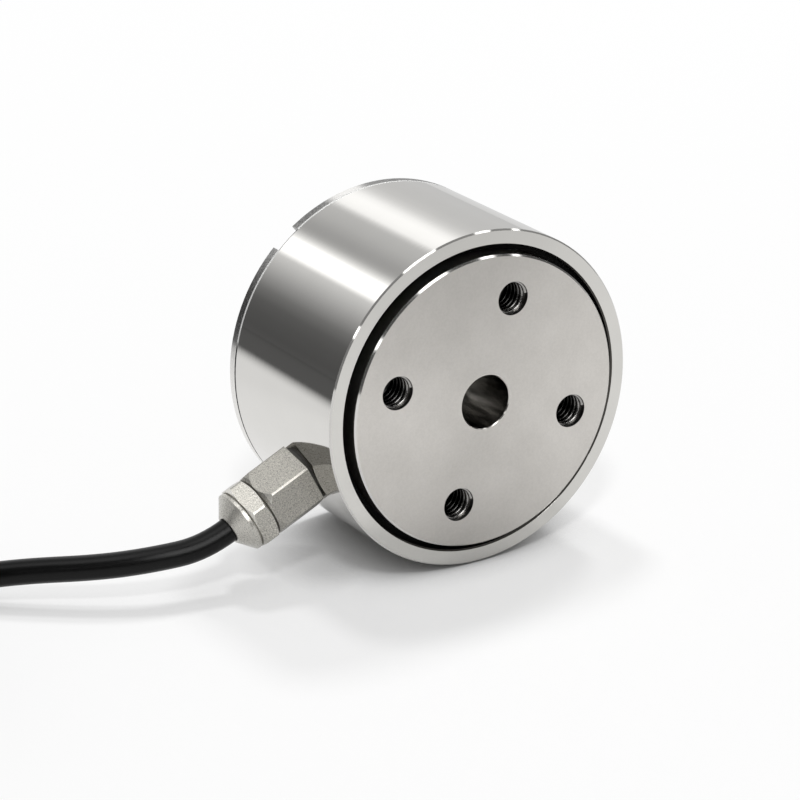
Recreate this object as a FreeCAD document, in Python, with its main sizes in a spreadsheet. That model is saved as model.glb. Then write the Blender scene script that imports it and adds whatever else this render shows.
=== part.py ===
"""Miniature load cell with a screwed cable gland and a folded cable, as a parametric document.

The cell lies on its side as it does on a table, held from rolling by its gland and cable.
+Z is up, the load face looks along -Y and the cable leaves towards -X. Millimetres and degrees.
"""
import FreeCAD
import Part
import Sketcher
import math
import os
import re

Vector = FreeCAD.Vector
Rotation = FreeCAD.Rotation
Placement = FreeCAD.Placement
UP = Vector(0, 0, 1)

# Driving dimensions. Each one is written once, here.
SIZES = {
    # the turned cell
    "body_diameter": 57.0,
    "body_length": 33.3,
    "gap_width": 1.15,
    "disc_proud": 1.42,
    "disc_thickness": 10.0,
    "disc_chamfer": 0.3,
    "base_thickness": 10.5,
    "rim_thickness": 1.8,
    "rim_chamfer": 0.3,
    "joint_chamfer": 0.22,
    "sleeve_wall": 2.65,
    "sleeve_chamfer": 0.25,
    "sleeve_mouth_chamfer": 0.25,
    "sleeve_fit": 0.03,
    "column_diameter": 23.0,
    "column_blend": 1.5,
    "flat_distance": 20.5,
    "flat_count": 4,
    "bore_diameter": 9.0,
    "bore_chamfer": 0.15,
    # tapped holes, the same circle on both faces
    "bolt_circle": 35.0,
    "bolt_count": 4,
    "bolt_angle": -16.8,
    "tapped_hole_diameter": 5.65,
    "thread_depth": 6.5,
    "drill_half_angle": 59.0,
    # spanner notches in the rear rim
    "notch_angle": 129.5,
    "notch_count": 2,
    "notch_width": 4.7,
    "notch_depth": 2.6,
    # black ring in the gap round the load disc
    "gap_seal_recess": 2.2,
    "gap_seal_height": 2.0,
    "gap_seal_fit": 0.03,
    # cable gland
    "gland_angle": 205.1,
    "gland_height": 18.6,
    "gland_thread": 8.0,
    "gland_thread_fit": 0.05,
    "gland_spigot_length": 3.2,
    "spot_face_diameter": 10.0,
    "gland_seal_thickness": 0.7,
    "hex_across_flats": 10.6,
    "hex_corner_land": 0.1,
    "hex_length": 8.55,
    "hex_angle": 7.8,
    "hex_chamfer_angle": 60.0,
    "nut_angle": 1.2,
    "nut_gap": 0.35,
    "nut_hex_length": 3.05,
    "nut_chamfer_angle": 30.0,
    "nut_thread": 8.4,
    "nut_thread_fit": 0.08,
    "nut_thread_length": 3.4,
    "nut_groove_width": 0.35,
    "nut_groove_depth": 0.55,
    "cone_diameter": 10.5,
    "cone_rim": 0.5,
    "cone_length": 2.1,
    "cone_end_diameter": 5.2,
    "bush_diameter": 6.5,
    "bush_length": 3.5,
    "bush_fit": 0.05,
    # cable
    "cable_diameter": 4.2,
    "cable_fit": 0.08,
    "jacket_reach": 1.2,
    "core_diameter": 1.1,
    "core_spacing": 1.3,
    "core_bend": 2.0,
    "core_straight": 1.0,
    # bridge inside the waist
    "gauge_margin": 1.25,
    "gauge_width": 5.0,
    "gauge_thickness": 0.15,
    "board_thickness": 1.0,
    "board_clearance": 0.4,
    "joint_diameter": 1.8,
    "joint_height": 0.6,
    "core_pad_depth": 4.3,
    "core_pad_step": 3.0,
    "core_pad_spread": 3.2,
    "gauge_pad_radius": 16.0,
    "gauge_wire_spacing": 2.4,
    "gauge_wire_diameter": 0.3,
    "resistor_length": 3.2,
    "resistor_width": 1.6,
    "resistor_height": 0.6,
    "resistor_radius": 19.5,
    # hank of the cable's spare length
    "hank_fold_radius": 12.6,
    "hank_row_turns": 1.75,
    "hank_rows": 6,
    "hank_pitch": 4.3,
    "hank_run": 34.0,
    "hank_entry_length": 14.0,
    "top_turn_run": 10.0,
    "top_turn_bite": 0.2,
    "tie_thickness": 0.85,
    "tie_width": 3.6,
    "tie_fit": 0.05,
    "tie_offset": 12.0,
    "tie_head_length": 4.6,
    "tie_head_depth": 5.5,
    "tie_head_height": 2.8,
    # stripped far end
    "lead_length": 20.0,
    "lead_rise": 9.0,
    "lead_straight": 3.5,
    "lead_spread": 3.6,
    "lead_fan": 1.5,
    "lead_near_spread": 1.2,
    "tip_length": 4.0,
    "tip_diameter": 0.6,
    "drain_diameter": 0.5,
}

# Sizes that follow from the driving ones.
FORMULAS = {
    "body_radius": "body_diameter / 2",
    "column_radius": "column_diameter / 2",
    "bore_radius": "bore_diameter / 2",
    "sleeve_bore_radius": "body_radius - sleeve_wall",
    "disc_radius": "sleeve_bore_radius - gap_width",
    "spigot_radius": "sleeve_bore_radius - sleeve_fit",
    "sleeve_front": "body_length - disc_proud",
    "waist_top": "body_length - disc_thickness",
    "waist_middle": "(base_thickness + waist_top) / 2",
    "gauge_length": "waist_top - base_thickness - 2 * (column_blend + gauge_margin)",
    "drill_tip": "tapped_hole_diameter / 2 / tan(drill_half_angle)",
    "cable_radius": "cable_diameter / 2",
    # along the gland's axis, counted from the cell's own axis
    "gland_seat": "sqrt(body_radius ^ 2 - (spot_face_diameter / 2) ^ 2)",
    "hex_start": "gland_seat + gland_seal_thickness",
    "hex_end": "hex_start + hex_length",
    "spigot_start": "hex_start - gland_spigot_length",
    "thread_end": "hex_end + nut_thread_length",
    "nut_start": "hex_end + nut_gap",
    "nut_hex_end": "nut_start + nut_hex_length",
    "cone_start": "nut_hex_end + nut_groove_width",
    "gland_end": "cone_start + cone_rim + cone_length",
    "bush_start": "thread_end - bush_length + nut_groove_width",
    "bush_end": "bush_start + bush_length",
    "jacket_start": "sleeve_bore_radius - jacket_reach",
    "hex_blank_radius": "hex_across_flats / sqrt(3) - hex_corner_land",
    "hex_flat_radius": "hex_across_flats / 2",
    "hex_chamfer": "(hex_blank_radius - hex_flat_radius) * tan(hex_chamfer_angle)",
    "nut_chamfer": "(hex_blank_radius - hex_flat_radius) * tan(nut_chamfer_angle)",
    "gland_bore_radius": "cable_radius + cable_fit",
    # the board and what is soldered to it
    "board_top": "base_thickness + board_thickness",
    "joint_top": "board_top + joint_height",
    # the hank, round its own centre on the table
    "hank_lift": "tie_thickness + tie_fit",
    "hank_inner_turn": "hank_fold_radius",
    "hank_outer_turn": "hank_fold_radius + hank_row_turns * hank_pitch",
    "hank_inside": "hank_inner_turn - cable_radius",
    "hank_outside": "hank_outer_turn + cable_radius",
    "hank_first_row": "hank_lift + cable_radius",
    "hank_top": "hank_lift + cable_diameter + (hank_rows - 1) * hank_pitch",
    "top_turn_radius": "(hank_inner_turn + hank_outer_turn) / 2",
    "top_turn_height": "hank_top + cable_radius - top_turn_bite",
    "top_turn_crown": "top_turn_height + cable_radius",
    "lead_radius": "core_diameter / 2",
}

# Free run of the cable: chosen points between the gland and the hank, and where the hank lies.
FIRST_RUN = 5.0
LAST_RUN = 9.0
ROUTE_POINTS = [(-52.4, -0.3, 7.2), (-60.3, 3.5, 6.3), (-70.8, 10.8, 5.4), (-79.3, 16.8, 3.6)]
HANK_CENTRE = (-127.5, 0.2)
ARC_SHARE = 0.45

# Where a sketch's outline starts before its constraints place it.
SEED_CENTRE = 30.0
SEED_RADIUS = 20.0

doc = FreeCAD.newDocument("miniature_load_cell")
sheet = doc.addObject("Spreadsheet::Sheet", "sizes")
derived = doc.addObject("App::VarSet", "derived")
pieces = []


def linked(text):
    """Turn size names into references to the sheet or to the derived values."""

    def owner(match):
        word = match.group(0)
        if word in SIZES:
            return "sizes." + word
        if word in FORMULAS:
            return "derived." + word
        return word

    return re.sub(r"[a-z_][a-z0-9_]*", owner, text)


def fill_sheet():
    for row, (alias, number) in enumerate(SIZES.items(), 1):
        sheet.set(f"A{row}", alias)
        sheet.set(f"B{row}", str(number))
        sheet.setAlias(f"B{row}", alias)
    doc.recompute()
    for name, formula in FORMULAS.items():
        derived.addProperty("App::PropertyFloat", name, "Derived")
        derived.setExpression(name, linked(formula))
    doc.recompute()


def value(name):
    """Read a size, driving or derived, as a number."""
    if name in SIZES:
        return float(sheet.get(name))
    return float(getattr(derived, name))


def count(name):
    return int(round(value(name)))


# Sketches and features

def new_body(label):
    body = doc.addObject("PartDesign::Body", label)
    pieces.append(body)
    return body


def new_sketch(body, name, role, lift="0", turn="0"):
    """A sketch on one of the body's own planes, lifted off it and turned about the body's Z axis."""
    sketch = body.newObject("Sketcher::SketchObject", name)
    plane = next(item for item in body.Origin.OriginFeatures if item.Role == role)
    sketch.AttachmentSupport = (plane, [""])
    sketch.MapMode = "FlatFace"
    turn_axis = UP if role == "XY_Plane" else Vector(0, 1, 0)
    sketch.AttachmentOffset = Placement(Vector(), Rotation(turn_axis, 1.0))
    sketch.setExpression("AttachmentOffset.Base.z", linked(lift))
    sketch.setExpression("AttachmentOffset.Rotation.Angle", linked(turn))
    return sketch


def add_polygon(sketch, points):
    """A closed outline whose corners are held by pairs of expressions."""
    first = sketch.GeometryCount
    corners = len(points)
    guesses = []
    for index in range(corners):
        angle = 2 * math.pi * index / corners
        across = SEED_CENTRE + SEED_RADIUS * math.cos(angle)
        along = SEED_CENTRE + SEED_RADIUS * math.sin(angle)
        guesses.append(Vector(across, along, 0))
    for index in range(corners):
        line = Part.LineSegment(guesses[index], guesses[(index + 1) % corners])
        sketch.addGeometry(line, False)
    for index in range(corners):
        after = first + (index + 1) % corners
        sketch.addConstraint(Sketcher.Constraint("Coincident", first + index, 2, after, 1))
    for index, (across, along) in enumerate(points):
        hold_point(sketch, first + index, 1, across, along, guesses[index])


def hold_point(sketch, geometry, point, across, along, guess):
    for kind, text, start in (("DistanceX", across, guess.x), ("DistanceY", along, guess.y)):
        rule = sketch.addConstraint(Sketcher.Constraint(kind, -1, 1, geometry, point, start))
        sketch.setExpression(f"Constraints[{rule}]", linked(text))


def add_circle(sketch, across, along, radius):
    guess = Vector(SEED_CENTRE, SEED_CENTRE, 0)
    circle = sketch.addGeometry(Part.Circle(guess, UP, SEED_RADIUS), False)
    hold_point(sketch, circle, 3, across, along, guess)
    rule = sketch.addConstraint(Sketcher.Constraint("Radius", circle, SEED_RADIUS))
    sketch.setExpression(f"Constraints[{rule}]", linked(radius))


def add_revolution(body, name, sketch, axis="V_Axis", angle="360", cut=False):
    kind = "PartDesign::Groove" if cut else "PartDesign::Revolution"
    feature = body.newObject(kind, name)
    feature.Profile = sketch
    feature.ReferenceAxis = (sketch, [axis])
    feature.setExpression("Angle", linked(angle))
    doc.recompute()
    return feature


def turn_profile(body, name, points):
    """Revolve an outline given as (radius, height) pairs about the body's Z axis."""
    sketch = new_sketch(body, name + "_profile", "XZ_Plane")
    add_polygon(sketch, points)
    doc.recompute()
    return add_revolution(body, name, sketch)


def add_pad(body, name, sketch, length, reverse=False, both_sides=False):
    feature = body.newObject("PartDesign::Pad", name)
    feature.Profile = sketch
    feature.setExpression("Length", linked(length))
    feature.Reversed = reverse
    feature.Midplane = both_sides
    doc.recompute()
    return feature


def add_pocket(body, name, sketch, length):
    """Cut upwards from the sketch, and make sure that something was cut."""
    before = body.Shape.Volume
    feature = body.newObject("PartDesign::Pocket", name)
    feature.Profile = sketch
    feature.setExpression("Length", linked(length))
    feature.Reversed = True
    doc.recompute()
    require(body.Shape.Volume < before, f"{name} cuts nothing")
    return feature


def add_circle_pattern(body, name, feature, sketch, copies):
    pattern = body.newObject("PartDesign::PolarPattern", name)
    pattern.Originals = [feature]
    pattern.Axis = (sketch, ["N_Axis"])
    pattern.Angle = 360
    pattern.setExpression("Occurrences", linked(copies))
    body.Tip = pattern
    doc.recompute()
    return pattern


def require(condition, message):
    if not condition:
        raise RuntimeError(message)


# Frames of the cell, the gland and the hank

def cell_place(turn=0.0):
    """Z along the load axis from the rear face, X to the right and Y up as seen from the front."""
    foot = Vector(0, value("body_length") / 2, value("body_radius"))
    stand = Placement(foot, Rotation(Vector(1, 0, 0), 90))
    return stand.multiply(Placement(Vector(), Rotation(UP, turn)))


def gland_place(along=0.0):
    """Z out along the gland's axis from the cell's axis, X up along the sleeve."""
    angle = math.radians(value("gland_angle"))
    outward = Vector(math.cos(angle), math.sin(angle), 0)
    tangent = Vector(math.sin(angle), -math.cos(angle), 0)
    turned = Rotation(tangent, Vector(0, 0, -1), outward, "ZXY")
    foot = Vector(0, 0, value("gland_height"))
    return cell_place().multiply(Placement(foot + outward * along, turned))


def hank_place():
    """Z up at the hank's centre, X along its runs and towards the cell."""
    return Placement(Vector(HANK_CENTRE[0], HANK_CENTRE[1], 0), Rotation())


# The cell

def make_elastic_body():
    """Base with the rear rim, waist column with gauge flats, and load disc, turned from one bar."""
    body = new_body("elastic_body")
    turn_profile(body, "turned_bar", [
        ("bore_radius + bore_chamfer", "0"),
        ("body_radius - rim_chamfer", "0"),
        ("body_radius", "rim_chamfer"),
        ("body_radius", "rim_thickness"),
        ("spigot_radius", "rim_thickness"),
        ("spigot_radius", "base_thickness"),
        ("column_radius + column_blend", "base_thickness"),
        ("column_radius", "base_thickness + column_blend"),
        ("column_radius", "waist_top - column_blend"),
        ("column_radius + column_blend", "waist_top"),
        ("disc_radius", "waist_top"),
        ("disc_radius", "body_length - disc_chamfer"),
        ("disc_radius - disc_chamfer", "body_length"),
        ("bore_radius + bore_chamfer", "body_length"),
        ("bore_radius", "body_length - bore_chamfer"),
        ("bore_radius", "bore_chamfer"),
    ])
    flat = new_sketch(body, "gauge_flat_outline", "XY_Plane", "base_thickness + column_blend", "bolt_angle")
    add_polygon(flat, [
        ("flat_distance / 2", "-column_radius"),
        ("column_diameter", "-column_radius"),
        ("column_diameter", "column_radius"),
        ("flat_distance / 2", "column_radius"),
    ])
    doc.recompute()
    milled = add_pocket(body, "gauge_flat", flat, "waist_top - base_thickness - 2 * column_blend")
    add_circle_pattern(body, "gauge_flats", milled, flat, "flat_count")
    tap_holes(body, "front", "body_length", "-1")
    tap_holes(body, "rear", "0", "1")
    notch = new_sketch(body, "notch_outline", "XY_Plane", "0", "notch_angle")
    add_polygon(notch, [
        ("body_radius - notch_depth", "-notch_width / 2"),
        ("body_diameter", "-notch_width / 2"),
        ("body_diameter", "notch_width / 2"),
        ("body_radius - notch_depth", "notch_width / 2"),
    ])
    doc.recompute()
    slotted = add_pocket(body, "spanner_notch", notch, "rim_thickness")
    add_circle_pattern(body, "spanner_notches", slotted, notch, "notch_count")
    body.Placement = cell_place()


def tap_holes(body, side, mouth, inward):
    """A circle of blind tapped holes with drilled points, sunk from one face. Threads are left plain."""
    sketch = new_sketch(body, side + "_hole_profile", "XZ_Plane", "0", "bolt_angle")
    foot = Vector(SEED_RADIUS, 0, 0)
    axis = sketch.addGeometry(Part.LineSegment(foot, foot + Vector(0, SEED_RADIUS, 0)), True)
    sketch.addConstraint(Sketcher.Constraint("Vertical", axis))
    rule = sketch.addConstraint(Sketcher.Constraint("DistanceX", -1, 1, axis, 1, SEED_RADIUS))
    sketch.setExpression(f"Constraints[{rule}]", linked("bolt_circle / 2"))
    wall = "(bolt_circle + tapped_hole_diameter) / 2"
    add_polygon(sketch, [
        ("bolt_circle / 2", mouth),
        (wall, mouth),
        (wall, f"{mouth} + {inward} * thread_depth"),
        ("bolt_circle / 2", f"{mouth} + {inward} * (thread_depth + drill_tip)"),
    ])
    doc.recompute()
    before = body.Shape.Volume
    drilled = add_revolution(body, side + "_hole", sketch, "Axis0", cut=True)
    require(body.Shape.Volume < before, f"{side} hole cuts nothing")
    pattern = body.newObject("PartDesign::PolarPattern", side + "_holes")
    pattern.Originals = [drilled]
    pattern.Axis = (sketch, ["V_Axis"])
    pattern.Angle = 360
    pattern.setExpression("Occurrences", linked("bolt_count"))
    body.Tip = pattern
    doc.recompute()


def make_housing_sleeve():
    """Tube from the rear rim to just short of the load face, drilled and spot-faced for the gland."""
    body = new_body("housing_sleeve")
    turn_profile(body, "turned_tube", [
        ("sleeve_bore_radius", "rim_thickness"),
        ("body_radius - joint_chamfer", "rim_thickness"),
        ("body_radius", "rim_thickness + joint_chamfer"),
        ("body_radius", "sleeve_front - sleeve_chamfer"),
        ("body_radius - sleeve_chamfer", "sleeve_front"),
        ("sleeve_bore_radius + sleeve_mouth_chamfer", "sleeve_front"),
        ("sleeve_bore_radius", "sleeve_front - sleeve_mouth_chamfer"),
    ])
    entry = new_sketch(body, "gland_entry_outline", "YZ_Plane")
    add_circle(entry, "0", "gland_height", "gland_thread / 2 + gland_thread_fit")
    doc.recompute()
    add_pocket(body, "gland_entry", entry, "body_diameter")
    face = new_sketch(body, "spot_face_outline", "YZ_Plane", "gland_seat")
    add_circle(face, "0", "gland_height", "spot_face_diameter / 2")
    doc.recompute()
    add_pocket(body, "spot_face", face, "body_radius")
    body.Placement = cell_place(value("gland_angle"))


def make_gap_seal():
    body = new_body("gap_seal")
    top = "sleeve_front - gap_seal_recess"
    turn_profile(body, "seal_ring", [
        ("disc_radius + gap_seal_fit", f"{top} - gap_seal_height"),
        ("sleeve_bore_radius - gap_seal_fit", f"{top} - gap_seal_height"),
        ("sleeve_bore_radius - gap_seal_fit", top),
        ("disc_radius + gap_seal_fit", top),
    ])
    body.Placement = cell_place()


# The gland

def cut_hexagon(body, name, start, length, turn):
    """Leave a hexagon of a turned blank between two heights."""
    sketch = new_sketch(body, name + "_outline", "XY_Plane", start, turn)
    corner = "hex_across_flats / sqrt(3)"
    corners = [(f"{corner} * cos({60 * index})", f"{corner} * sin({60 * index})") for index in range(6)]
    add_polygon(sketch, corners)
    add_circle(sketch, "0", "0", "hex_across_flats")
    doc.recompute()
    add_pocket(body, name, sketch, length)


def make_gland_body():
    body = new_body("gland_body")
    turn_profile(body, "turned_blank", [
        ("gland_bore_radius", "spigot_start"),
        ("gland_thread / 2", "spigot_start"),
        ("gland_thread / 2", "hex_start"),
        ("hex_blank_radius", "hex_start"),
        ("hex_blank_radius", "hex_end - hex_chamfer"),
        ("hex_flat_radius", "hex_end"),
        ("nut_thread / 2", "hex_end"),
        ("nut_thread / 2", "thread_end"),
        ("bush_diameter / 2 + bush_fit", "thread_end"),
        ("bush_diameter / 2 + bush_fit", "bush_start"),
        ("gland_bore_radius", "bush_start"),
    ])
    cut_hexagon(body, "body_hexagon", "hex_start", "hex_length", "hex_angle")
    body.Placement = gland_place()


def make_gland_nut():
    """Short hexagon with a groove and a cone, closing on the clamping bush."""
    body = new_body("gland_nut")
    groove = "cone_diameter / 2 - nut_groove_depth"
    turn_profile(body, "turned_nut", [
        ("nut_thread / 2 + nut_thread_fit", "nut_start"),
        ("hex_flat_radius", "nut_start"),
        ("hex_blank_radius", "nut_start + nut_chamfer"),
        ("hex_blank_radius", "nut_hex_end - nut_chamfer"),
        ("hex_flat_radius", "nut_hex_end"),
        (groove, "nut_hex_end"),
        (groove, "cone_start"),
        ("cone_diameter / 2", "cone_start"),
        ("cone_diameter / 2", "cone_start + cone_rim"),
        ("cone_end_diameter / 2", "gland_end"),
        ("gland_bore_radius", "gland_end"),
        ("gland_bore_radius", "bush_end"),
        ("nut_thread / 2 + nut_thread_fit", "bush_end"),
    ])
    cut_hexagon(body, "nut_hexagon", "nut_start", "nut_hex_length", "nut_angle")
    body.Placement = gland_place()


def make_gland_rings():
    """The flat seal under the hexagon and the rubber bush that grips the jacket."""
    seal = new_body("gland_seal")
    turn_profile(seal, "seal_washer", [
        ("gland_thread / 2 + gland_thread_fit", "gland_seat"),
        ("spot_face_diameter / 2 - gland_thread_fit", "gland_seat"),
        ("spot_face_diameter / 2 - gland_thread_fit", "hex_start"),
        ("gland_thread / 2 + gland_thread_fit", "hex_start"),
    ])
    seal.Placement = gland_place()
    bush = new_body("gland_bush")
    turn_profile(bush, "clamping_bush", [
        ("gland_bore_radius", "bush_start"),
        ("bush_diameter / 2", "bush_start"),
        ("bush_diameter / 2", "bush_end"),
        ("gland_bore_radius", "bush_end"),
    ])
    bush.Placement = gland_place()
    jacket = doc.addObject("Part::Cylinder", "jacket_in_gland")
    jacket.setExpression("Radius", linked("cable_radius"))
    jacket.setExpression("Height", linked("gland_end - jacket_start"))
    jacket.Placement = gland_place(value("jacket_start"))
    pieces.append(jacket)


# Wires and tubes

def tube(label, points, diameter, bend=None):
    """Round tube along straight runs joined by tangent arcs, each as large as its runs allow unless given."""
    edges = []
    radii = []
    start = points[0]
    for before, corner, after in zip(points, points[1:], points[2:]):
        back = (before - corner).normalize()
        ahead = (after - corner).normalize()
        half_turn = (math.pi - back.getAngle(ahead)) / 2
        shorter = min((before - corner).Length, (after - corner).Length)
        reach = ARC_SHARE * shorter if bend is None else bend * math.tan(half_turn)
        radius = reach / math.tan(half_turn)
        inside = (back + ahead).normalize()
        middle = corner + inside * (radius / math.cos(half_turn) - radius)
        edges.append(Part.LineSegment(start, corner + back * reach).toShape())
        edges.append(Part.Arc(corner + back * reach, middle, corner + ahead * reach).toShape())
        radii.append(radius)
        start = corner + ahead * reach
    edges.append(Part.LineSegment(start, points[-1]).toShape())
    path = Part.Wire(edges)
    ring = Part.Wire([Part.Circle(points[0], points[1] - points[0], diameter / 2).toShape()])
    solid = path.makePipeShell([ring], True, False)
    wanted = math.pi * diameter ** 2 / 4 * path.Length
    require(abs(solid.Volume / wanted - 1) < 0.01, f"{label} is not a true tube")
    if bend is None:
        print(label, "length", round(path.Length, 1), "radii", [round(radius, 1) for radius in radii])
    return solid


def add_shape(label, shape, place=Placement()):
    piece = doc.addObject("Part::Feature", label)
    piece.Shape = shape
    piece.Placement = place
    pieces.append(piece)


# The bridge inside the waist

def polar(radius, angle, height):
    turn = math.radians(angle)
    return Vector(radius * math.cos(turn), radius * math.sin(turn), height)


def flat_angles():
    flats = count("flat_count")
    return [value("bolt_angle") + 360 * index / flats for index in range(flats)]


def gland_point(depth, sideways, height):
    """A point of the cell's frame, by its distance along the gland's direction and to its side."""
    angle = value("gland_angle")
    return polar(depth, angle, height) + polar(sideways, angle + 90, 0)


def core_ways():
    """Start and pad of each core: lower pair to the nearer pads, upper pair to the further ones."""
    half = value("core_spacing") / 2
    spread = value("core_pad_spread") / 2
    start = value("jacket_start")
    near = start - value("core_pad_depth")
    far = near - value("core_pad_step")
    ways = []
    for level, pad in ((-half, near), (half, far)):
        for side in (-1, 1):
            height = value("gland_height") + level
            ways.append([
                gland_point(start, side * half, height),
                gland_point(start - value("core_straight"), side * half, height),
                gland_point(pad, side * spread, height),
                gland_point(pad, side * spread, value("joint_top")),
            ])
    return ways


def gauge_wire_ways():
    surface = value("flat_distance") / 2 + value("gauge_thickness") + value("gauge_wire_diameter") / 2
    tab = value("waist_middle") - value("gauge_length") / 8
    elbow = value("joint_top") + value("joint_diameter") / 2
    landing = value("joint_top") + value("gauge_wire_diameter") / 2
    ways = []
    for angle in flat_angles():
        for side in (-1, 1):
            shift = polar(side * value("gauge_wire_spacing") / 2, angle + 90, 0)
            ways.append([
                polar(surface, angle, tab) + shift,
                polar(surface, angle, elbow) + shift,
                polar(value("gauge_pad_radius"), angle, landing) + shift,
            ])
    return ways


def make_bridge():
    for index, angle in enumerate(flat_angles(), 1):
        gauge = doc.addObject("Part::Box", f"strain_gauge_{index}")
        gauge.setExpression("Length", linked("gauge_thickness"))
        gauge.setExpression("Width", linked("gauge_width"))
        gauge.setExpression("Height", linked("gauge_length"))
        corner = Vector(
            value("flat_distance") / 2,
            -value("gauge_width") / 2,
            value("waist_middle") - value("gauge_length") / 2,
        )
        gauge.Placement = cell_place(angle).multiply(Placement(corner, Rotation()))
        pieces.append(gauge)
    board = new_body("terminal_board")
    turn_profile(board, "ring_board", [
        ("column_radius + column_blend + board_clearance", "base_thickness"),
        ("sleeve_bore_radius - board_clearance", "base_thickness"),
        ("sleeve_bore_radius - board_clearance", "board_top"),
        ("column_radius + column_blend + board_clearance", "board_top"),
    ])
    board.Placement = cell_place()
    make_soldered_pieces()


def make_soldered_pieces():
    cores = core_ways()
    wires = gauge_wire_ways()
    feet = [way[-1] for way in cores] + [way[-1] for way in wires]
    joints = []
    for foot in feet:
        base = Vector(foot.x, foot.y, value("board_top"))
        wide = value("joint_diameter") / 2
        joints.append(Part.makeCone(wide, wide * 0.6, value("joint_height"), base, UP))
    add_shape("solder_joints", Part.makeCompound(joints), cell_place())
    for colour, way in zip(("red", "black", "green", "white"), cores):
        core = tube("core_" + colour, way, value("core_diameter"), value("core_bend"))
        add_shape("core_" + colour, core, cell_place())
    fine = value("gauge_wire_diameter")
    strands = [tube("gauge_wires", way, fine, 2 * fine) for way in wires]
    add_shape("gauge_wires", Part.makeCompound(strands), cell_place())
    add_shape("trim_resistors", Part.makeCompound(trim_resistors()), cell_place())


def trim_resistors():
    """Chip resistors on the board, half way between the flats that the gland leaves free."""
    half_step = 180 / count("flat_count")
    chips = []
    for angle in flat_angles():
        middle = angle + half_step
        if abs((middle - value("gland_angle") + 180) % 360 - 180) < half_step / 2:
            continue
        chip = Part.makeBox(value("resistor_width"), value("resistor_length"), value("resistor_height"))
        corner = Vector(value("resistor_radius"), -value("resistor_length") / 2, value("board_top"))
        chip.Placement = Placement(Vector(), Rotation(UP, middle)).multiply(Placement(corner, Rotation()))
        chips.append(chip)
    return chips


# The cable and its hank

def make_cable():
    heading = Vector(-1, 0, 0)
    reach = value("hank_run") / 2 + value("hank_entry_length")
    arrival = hank_place().multVec(Vector(reach, value("hank_outer_turn"), value("hank_first_row")))
    leaving = gland_place(value("gland_end"))
    start = leaving.Base
    outward = leaving.Rotation.multVec(UP)
    points = [start, start + outward * FIRST_RUN]
    points += [Vector(*point) for point in ROUTE_POINTS]
    points += [arrival - heading * LAST_RUN, arrival]
    print("route", [(round(p.x, 2), round(p.y, 2), round(p.z, 2)) for p in points])
    add_shape("cable", tube("cable", points, value("cable_diameter")))


def add_stadium(sketch, half_run, radius):
    """Two straight sides joined by half circles."""
    seed = SEED_RADIUS
    right = Part.Circle(Vector(seed, 0, 0), UP, seed)
    left = Part.Circle(Vector(-seed, 0, 0), UP, seed)
    quarter = math.pi / 2
    near = sketch.addGeometry(Part.ArcOfCircle(right, -quarter, quarter), False)
    far = sketch.addGeometry(Part.ArcOfCircle(left, quarter, 3 * quarter), False)
    back = sketch.addGeometry(Part.LineSegment(Vector(seed, seed, 0), Vector(-seed, seed, 0)), False)
    front = sketch.addGeometry(Part.LineSegment(Vector(-seed, -seed, 0), Vector(seed, -seed, 0)), False)
    joints = ((near, 2, back, 1), (back, 2, far, 1), (far, 2, front, 1), (front, 2, near, 1))
    for first, end, second, start in joints:
        sketch.addConstraint(Sketcher.Constraint("Tangent", first, end, second, start))
    hold_point(sketch, near, 3, half_run, "0", Vector(seed, 0, 0))
    hold_point(sketch, far, 3, f"-({half_run})", "0", Vector(-seed, 0, 0))
    sketch.addConstraint(Sketcher.Constraint("Equal", near, far))
    rule = sketch.addConstraint(Sketcher.Constraint("Radius", near, seed))
    sketch.setExpression(f"Constraints[{rule}]", linked(radius))


def make_cable_hank():
    """Outer shape of the wound turns: a long ring, the straight entry and the last turn on top."""
    body = new_body("cable_hank")
    ring = new_sketch(body, "ring_outline", "XY_Plane", "hank_lift")
    add_stadium(ring, "hank_run / 2", "hank_outside")
    add_stadium(ring, "hank_run / 2", "hank_inside")
    doc.recompute()
    add_pad(body, "wound_ring", ring, "hank_top - hank_lift")
    entry = new_sketch(body, "entry_outline", "YZ_Plane", "hank_run / 2")
    add_circle(entry, "hank_outer_turn", "hank_first_row", "cable_radius")
    doc.recompute()
    add_pad(body, "entry_run", entry, "hank_entry_length")
    fold = new_sketch(body, "top_fold_outline", "YZ_Plane", "hank_run / 2")
    add_circle(fold, "-top_turn_radius", "top_turn_height", "cable_radius")
    doc.recompute()
    add_revolution(body, "top_fold", fold, "V_Axis", "180")
    last = new_sketch(body, "top_run_outline", "YZ_Plane", "hank_run / 2")
    add_circle(last, "top_turn_radius", "top_turn_height", "cable_radius")
    doc.recompute()
    add_pad(body, "top_run", last, "top_turn_run", reverse=True)
    body.Placement = hank_place()


def tie_outline(side, crown, slack):
    """Loop round one side of the hank, a given distance off it and over what lies on top."""
    shape = [
        (f"hank_inside - {slack}", f"hank_lift - {slack}"),
        (f"hank_outside + {slack}", f"hank_lift - {slack}"),
        (f"hank_outside + {slack}", f"hank_top + {slack}"),
        (f"top_turn_radius + cable_radius + {slack} / 2", f"{crown} + {slack}"),
        (f"top_turn_radius - cable_radius - {slack} / 2", f"{crown} + {slack}"),
        (f"hank_inside - {slack}", f"hank_top + {slack}"),
    ]
    return [(f"{side} * ({across})", height) for across, height in shape]


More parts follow.
